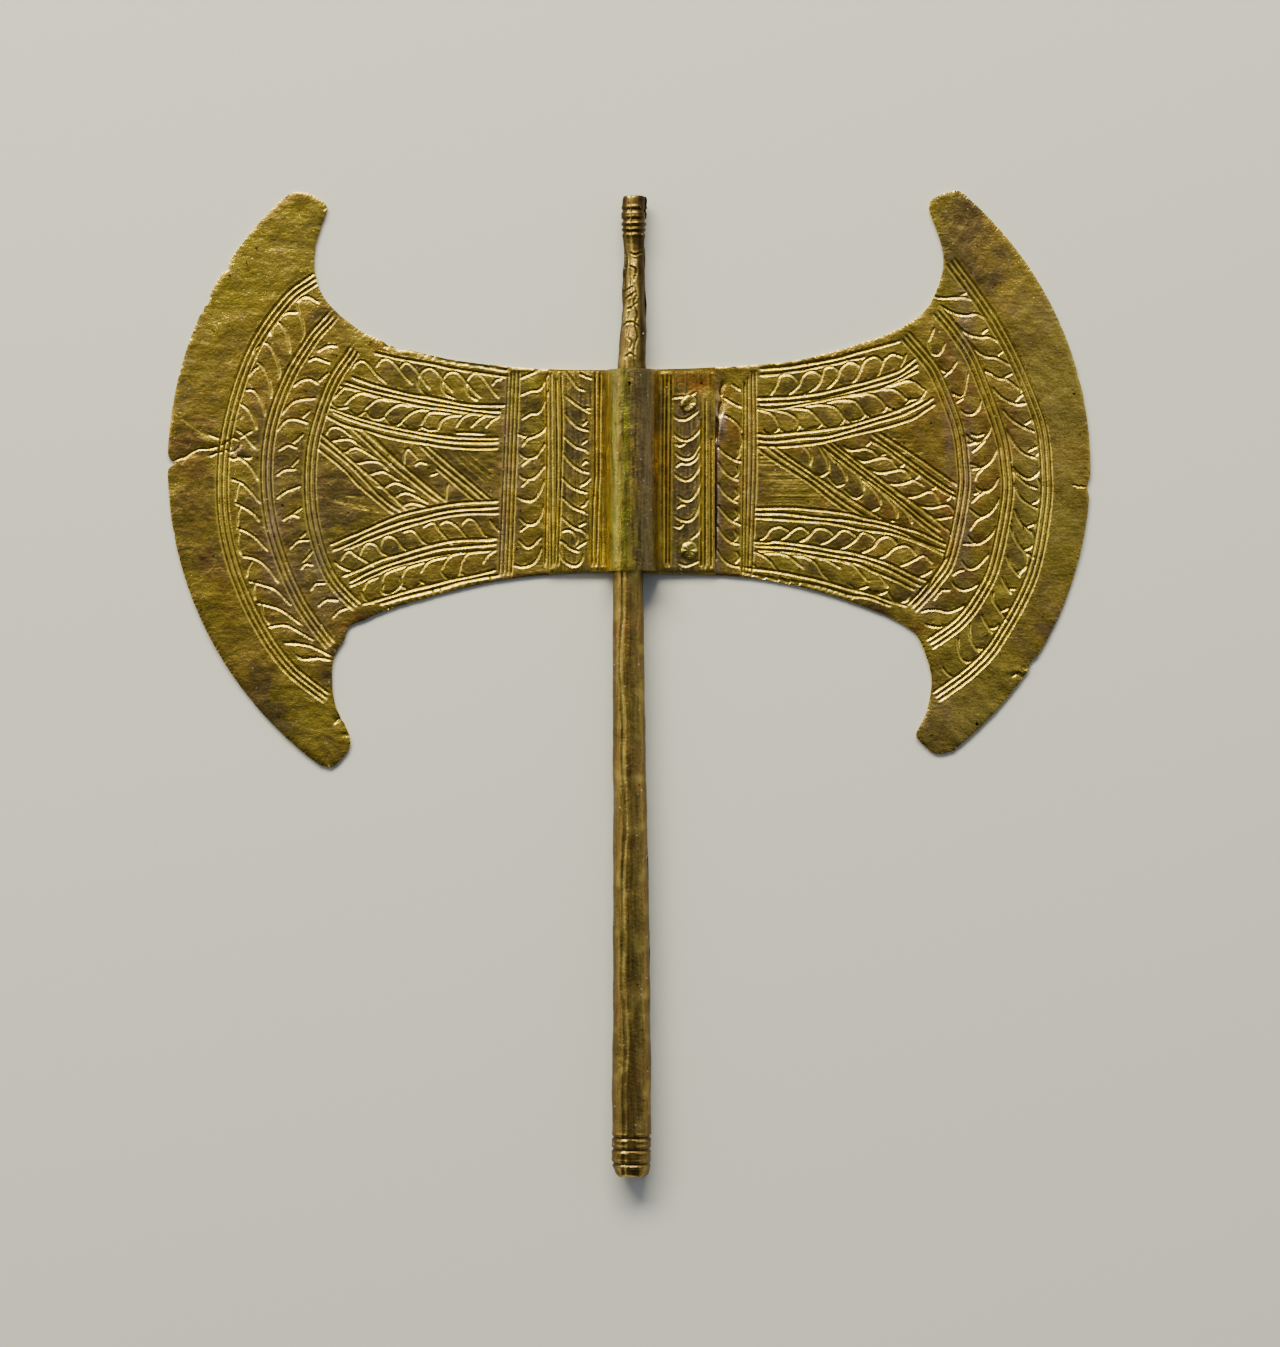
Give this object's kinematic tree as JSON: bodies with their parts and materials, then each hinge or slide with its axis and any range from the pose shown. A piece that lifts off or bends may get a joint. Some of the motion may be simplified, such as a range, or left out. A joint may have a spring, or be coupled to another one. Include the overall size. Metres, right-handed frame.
{
  "type": "votive double axe",
  "caption": "Small votive double axe of thin chased gold sheet: two crescent wings, a riveted sleeve and a rolled tube handle, lying flat.",
  "frame": {"origin": "middle of the blade's flat back, behind the sleeve", "axes": "+Z out of the decorated face, +Y up the handle towards its short end, +X towards the wing on the viewer's right"},
  "size_m": [0.0924, 0.0984, 0.0038],
  "materials": {
    "blade_gold": "chased sheet gold, satin, with brown and olive film and dark dirt in the lines",
    "sleeve_gold": "chased sheet gold, satin, with green and grey-brown film",
    "handle_gold": "rolled sheet gold, satin, crumpled, with brown film and pale worn crests",
    "rivet_gold": "hammered gold, satin"
  },
  "bodies": {
    "root": {"blade": "blade_gold", "sleeve": "sleeve_gold", "handle": "handle_gold", "upper_rivet": "rivet_gold", "lower_rivet": "rivet_gold"}
  },
  "joints": []
}
